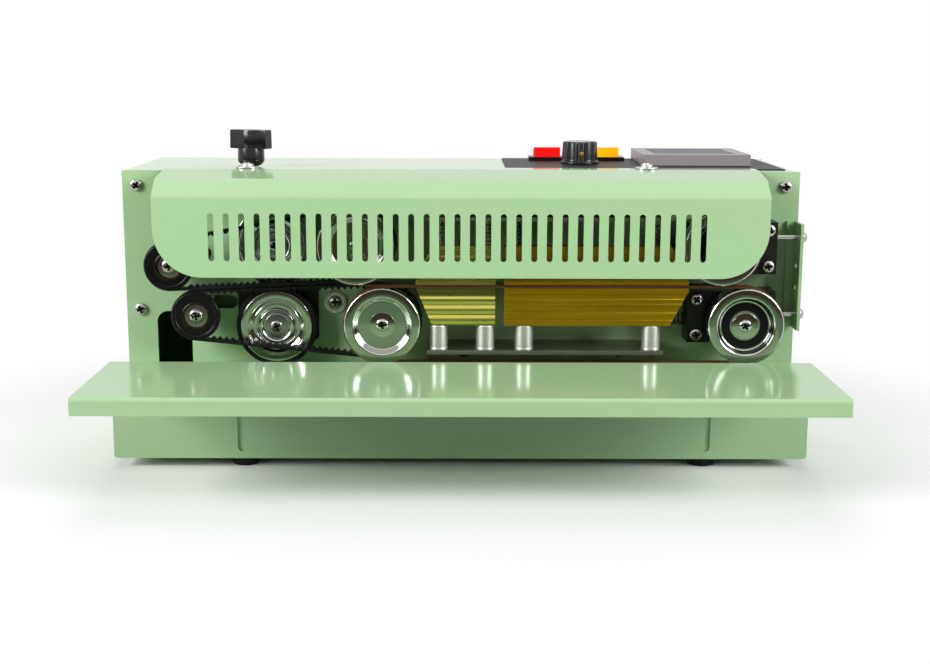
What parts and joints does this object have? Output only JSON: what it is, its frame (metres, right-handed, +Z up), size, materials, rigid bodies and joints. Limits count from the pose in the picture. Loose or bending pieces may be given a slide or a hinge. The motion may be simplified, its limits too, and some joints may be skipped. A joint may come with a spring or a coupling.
{
  "type": "roller bag sealer",
  "caption": "Table-top band sealer: geared bands, guide belts and press wheels carry a bag's mouth past sprung heating and cooling blocks, over a height-adjustable table.",
  "frame": {"origin": "middle of the footprint's bounding box, on the floor under the feet", "axes": "+X along the body to the right as seen from the front, +Y to the back, +Z up"},
  "size_m": [0.5544, 0.347, 0.2625],
  "materials": {
    "green_paint": "glossy pale green paint on folded sheet steel",
    "bright_wheel": "bright turned and plated steel",
    "bright_screws": "zinc-plated screw steel",
    "plain_steel": "bare machined steel",
    "motor_metal": "dark painted motor and gearbox case",
    "black_block": "black finished machined block",
    "black_plastic": "satin black moulding",
    "black_panel": "fine matt black panel sheet",
    "grey_plastic": "grey moulded case with a dark window",
    "black_rubber": "matt black rubber",
    "brown_band": "brown coated glass fabric, slightly shiny",
    "gold_block": "gold coloured milled metal",
    "red_plastic": "clear red rocker",
    "amber_plastic": "clear amber rocker"
  },
  "bodies": {
    "frame": {"base_tray": "green_paint", "front_plate": "green_paint", "housing": "green_paint", "rear_cover": "green_paint", "rubber_feet": "black_rubber", "panel_screws": "bright_screws", "belt_guard": "green_paint", "washer_screws": "bright_screws", "tension_bracket": "green_paint", "shaft_bearings": "plain_steel", "gear_motor": "motor_metal", "lower_seal_band": "brown_band", "upper_seal_band": "brown_band", "lower_guide_belt": "black_rubber", "upper_guide_belt": "black_rubber", "idler_axles": "plain_steel", "block_supports": "plain_steel", "lower_heat_block": "gold_block", "lower_cool_block": "gold_block", "coil_springs": "plain_steel", "pressure_spring": "plain_steel", "control_panel": "black_panel", "temperature_controller": "grey_plastic", "switch_frames": "black_plastic", "power_gland": "black_plastic"},
    "table": {"work_table": "green_paint"},
    "lower_drive": {"lower_drive_shaft": "plain_steel", "lower_drive_gear": "plain_steel", "lower_belt_pulley": "black_plastic", "lower_drive_wheel": "bright_wheel"},
    "upper_drive": {"upper_drive_shaft": "plain_steel", "upper_drive_gear": "plain_steel", "upper_belt_pulley": "black_plastic", "upper_drive_wheel": "bright_wheel"},
    "lower_press": {"lower_press_shaft": "plain_steel", "lower_press_gear": "plain_steel", "lower_press_wheel": "bright_wheel", "lower_press_tyre": "black_rubber"},
    "press_slider": {"press_slide_block": "black_block"},
    "upper_press": {"upper_press_shaft": "plain_steel", "upper_press_gear": "plain_steel", "upper_press_wheel": "bright_wheel", "upper_press_tyre": "bright_wheel"},
    "lower_tension": {"lower_tension_block": "black_block", "lower_tail_axle": "bright_wheel"},
    "upper_tension": {"upper_tension_block": "black_block", "upper_tail_axle": "bright_wheel"},
    "lower_tail": {"lower_tail_wheel": "bright_wheel"},
    "upper_tail": {"upper_tail_wheel": "bright_wheel"},
    "lower_screw": {"lower_tension_screw": "bright_screws"},
    "upper_screw": {"upper_tension_screw": "bright_screws"},
    "lower_idler": {"lower_guide_idler": "black_plastic"},
    "upper_idler": {"upper_guide_idler": "black_plastic"},
    "pinion": {"motor_pinion": "plain_steel"},
    "heat_block": {"upper_heat_block": "gold_block"},
    "cool_block": {"upper_cool_block": "gold_block"},
    "pressure_knob": {"pressure_knob": "black_plastic"},
    "speed_knob": {"speed_knob": "black_plastic"},
    "heat_switch": {"heat_rocker": "red_plastic"},
    "motor_switch": {"motor_rocker": "amber_plastic"}
  },
  "joints": [
    {"name": "table_height", "type": "slide", "parent": "frame", "child": "table", "axis": [0, 0, 1], "range_m": [-0.006, 0.036]},
    {"name": "lower_drive_spin", "type": "hinge", "parent": "frame", "child": "lower_drive", "pos_m": [-0.06485, -0.026, 0.1124], "axis": [0, 1, 0], "continuous": true},
    {"name": "upper_drive_spin", "type": "hinge", "parent": "frame", "child": "upper_drive", "pos_m": [-0.08515, -0.026, 0.1752], "axis": [0, 1, 0], "continuous": true},
    {"name": "lower_press_spin", "type": "hinge", "parent": "frame", "child": "lower_press", "pos_m": [-0.15225, 0.003, 0.106], "axis": [0, 1, 0], "continuous": true},
    {"name": "upper_press_lift", "type": "slide", "parent": "frame", "child": "press_slider", "axis": [0, 0, 1], "range_m": [0, 0.0015], "stiffness_N_per_m": 8000, "springref_m": -0.003, "deforming": ["pressure_spring"]},
    {"name": "upper_press_spin", "type": "hinge", "parent": "press_slider", "child": "upper_press", "pos_m": [-0.15225, 0.003, 0.172], "axis": [0, 1, 0], "continuous": true},
    {"name": "lower_tension_slide", "type": "slide", "parent": "frame", "child": "lower_tension", "axis": [1, 0, 0], "range_m": [-0.003, 0], "stiffness_N_per_m": 1500, "springref_m": 0.006, "deforming": ["coil_springs"]},
    {"name": "lower_tail_spin", "type": "hinge", "parent": "lower_tension", "child": "lower_tail", "pos_m": [0.22375, -0.026, 0.1124], "axis": [0, 1, 0], "continuous": true},
    {"name": "lower_screw_turn", "type": "hinge", "parent": "frame", "child": "lower_screw", "pos_m": [0.25775, 0.002, 0.1164], "axis": [1, 0, 0], "range_deg": [0, 1560]},
    {"name": "upper_tension_slide", "type": "slide", "parent": "frame", "child": "upper_tension", "axis": [1, 0, 0], "range_m": [-0.003, 0], "stiffness_N_per_m": 1500, "springref_m": 0.006, "deforming": ["coil_springs"]},
    {"name": "upper_tail_spin", "type": "hinge", "parent": "upper_tension", "child": "upper_tail", "pos_m": [0.20345, -0.026, 0.1752], "axis": [0, 1, 0], "continuous": true},
    {"name": "upper_screw_turn", "type": "hinge", "parent": "frame", "child": "upper_screw", "pos_m": [0.25775, 0.002, 0.1792], "axis": [1, 0, 0], "range_deg": [0, 1560]},
    {"name": "lower_guide_spin", "type": "hinge", "parent": "frame", "child": "lower_idler", "pos_m": [-0.21525, -0.011, 0.1166], "axis": [0, 1, 0], "continuous": true},
    {"name": "upper_guide_spin", "type": "hinge", "parent": "frame", "child": "upper_idler", "pos_m": [-0.23575, -0.011, 0.1569], "axis": [0, 1, 0], "continuous": true},
    {"name": "pinion_spin", "type": "hinge", "parent": "frame", "child": "pinion", "pos_m": [-0.10712, 0.064, 0.08965], "axis": [0, 1, 0], "continuous": true},
    {"name": "heat_block_float", "type": "slide", "parent": "frame", "child": "heat_block", "axis": [0, 0, 1], "range_m": [0, 0.002], "stiffness_N_per_m": 2000, "springref_m": -0.004, "deforming": ["coil_springs"]},
    {"name": "cool_block_float", "type": "slide", "parent": "frame", "child": "cool_block", "axis": [0, 0, 1], "range_m": [0, 0.002], "stiffness_N_per_m": 2000, "springref_m": -0.004, "deforming": ["coil_springs"]},
    {"name": "pressure_knob_turn", "type": "hinge", "parent": "frame", "child": "pressure_knob", "pos_m": [-0.17625, 0.043, 0.25], "axis": [0, 0, 1], "range_deg": [-360, 360]},
    {"name": "speed_knob_turn", "type": "hinge", "parent": "frame", "child": "speed_knob", "pos_m": [0.10025, 0.094, 0.24], "axis": [0, 0, 1], "range_deg": [-150, 150]},
    {"name": "heat_switch_rock", "type": "hinge", "parent": "frame", "child": "heat_switch", "pos_m": [0.07425, 0.138, 0.2334], "axis": [1, 0, 0], "range_deg": [0, 20]},
    {"name": "motor_switch_rock", "type": "hinge", "parent": "frame", "child": "motor_switch", "pos_m": [0.12625, 0.138, 0.2334], "axis": [1, 0, 0], "range_deg": [0, 20]}
  ],
  "couplings": [
    {"joint": "upper_drive_spin", "follows": "lower_drive_spin", "ratio": -1},
    {"joint": "lower_press_spin", "follows": "lower_drive_spin", "ratio": 1},
    {"joint": "upper_press_spin", "follows": "lower_drive_spin", "ratio": -1},
    {"joint": "lower_tail_spin", "follows": "lower_drive_spin", "ratio": 1},
    {"joint": "upper_tail_spin", "follows": "lower_drive_spin", "ratio": -1},
    {"joint": "lower_guide_spin", "follows": "lower_drive_spin", "ratio": 1.5567},
    {"joint": "upper_guide_spin", "follows": "lower_drive_spin", "ratio": -1.5567},
    {"joint": "pinion_spin", "follows": "lower_drive_spin", "ratio": -2.2},
    {"joint": "lower_screw_turn", "follows": "lower_tension_slide", "rad_per_m": -8976},
    {"joint": "upper_screw_turn", "follows": "upper_tension_slide", "rad_per_m": -8976}
  ]
}
